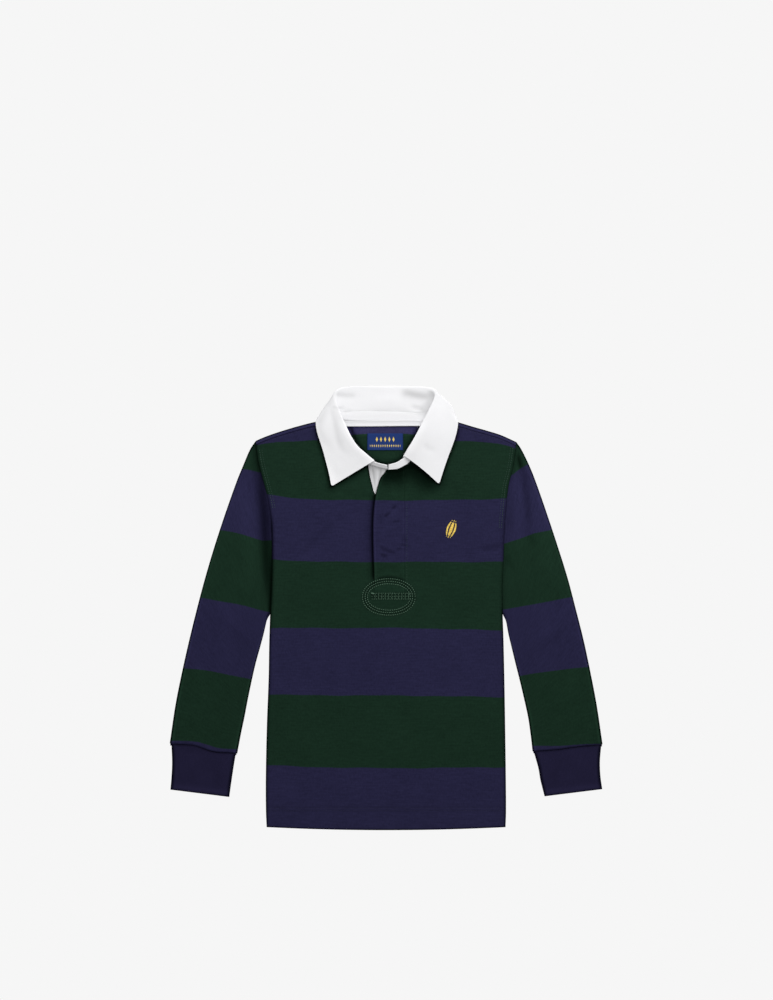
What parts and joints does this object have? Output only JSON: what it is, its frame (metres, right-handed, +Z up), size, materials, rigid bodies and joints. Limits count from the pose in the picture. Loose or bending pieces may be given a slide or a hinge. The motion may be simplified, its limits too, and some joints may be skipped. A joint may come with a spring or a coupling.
{
  "type": "rugby shirt",
  "caption": "Child's long-sleeved rugby shirt laid flat on its back, with broad stripes, a fold-down collar, a covered front placket and rib cuffs.",
  "frame": {"origin": "on the plane the shirt lies on, under the middle of its overall length and width", "axes": "+Z up out of the plane, through the shirt's front; +Y along the body from hem to collar; +X towards the wearer's left sleeve"},
  "size_m": [0.5192, 0.5329, 0.0147],
  "materials": {
    "jersey": "matt cotton jersey in broad stripes of navy and dark green",
    "rib": "matt navy rib knit",
    "twill": "matt white cotton twill",
    "label": "woven satin, blue"
  },
  "bodies": {
    "root": {"back": "jersey", "front": "jersey", "placket_flap": "jersey", "sleeve_right": "jersey", "sleeve_left": "jersey", "cuff_right": "rib", "cuff_left": "rib", "under_placket": "twill", "collar_stand": "twill", "collar_fall": "twill", "neck_tape": "twill", "neck_label": "label"}
  },
  "joints": []
}
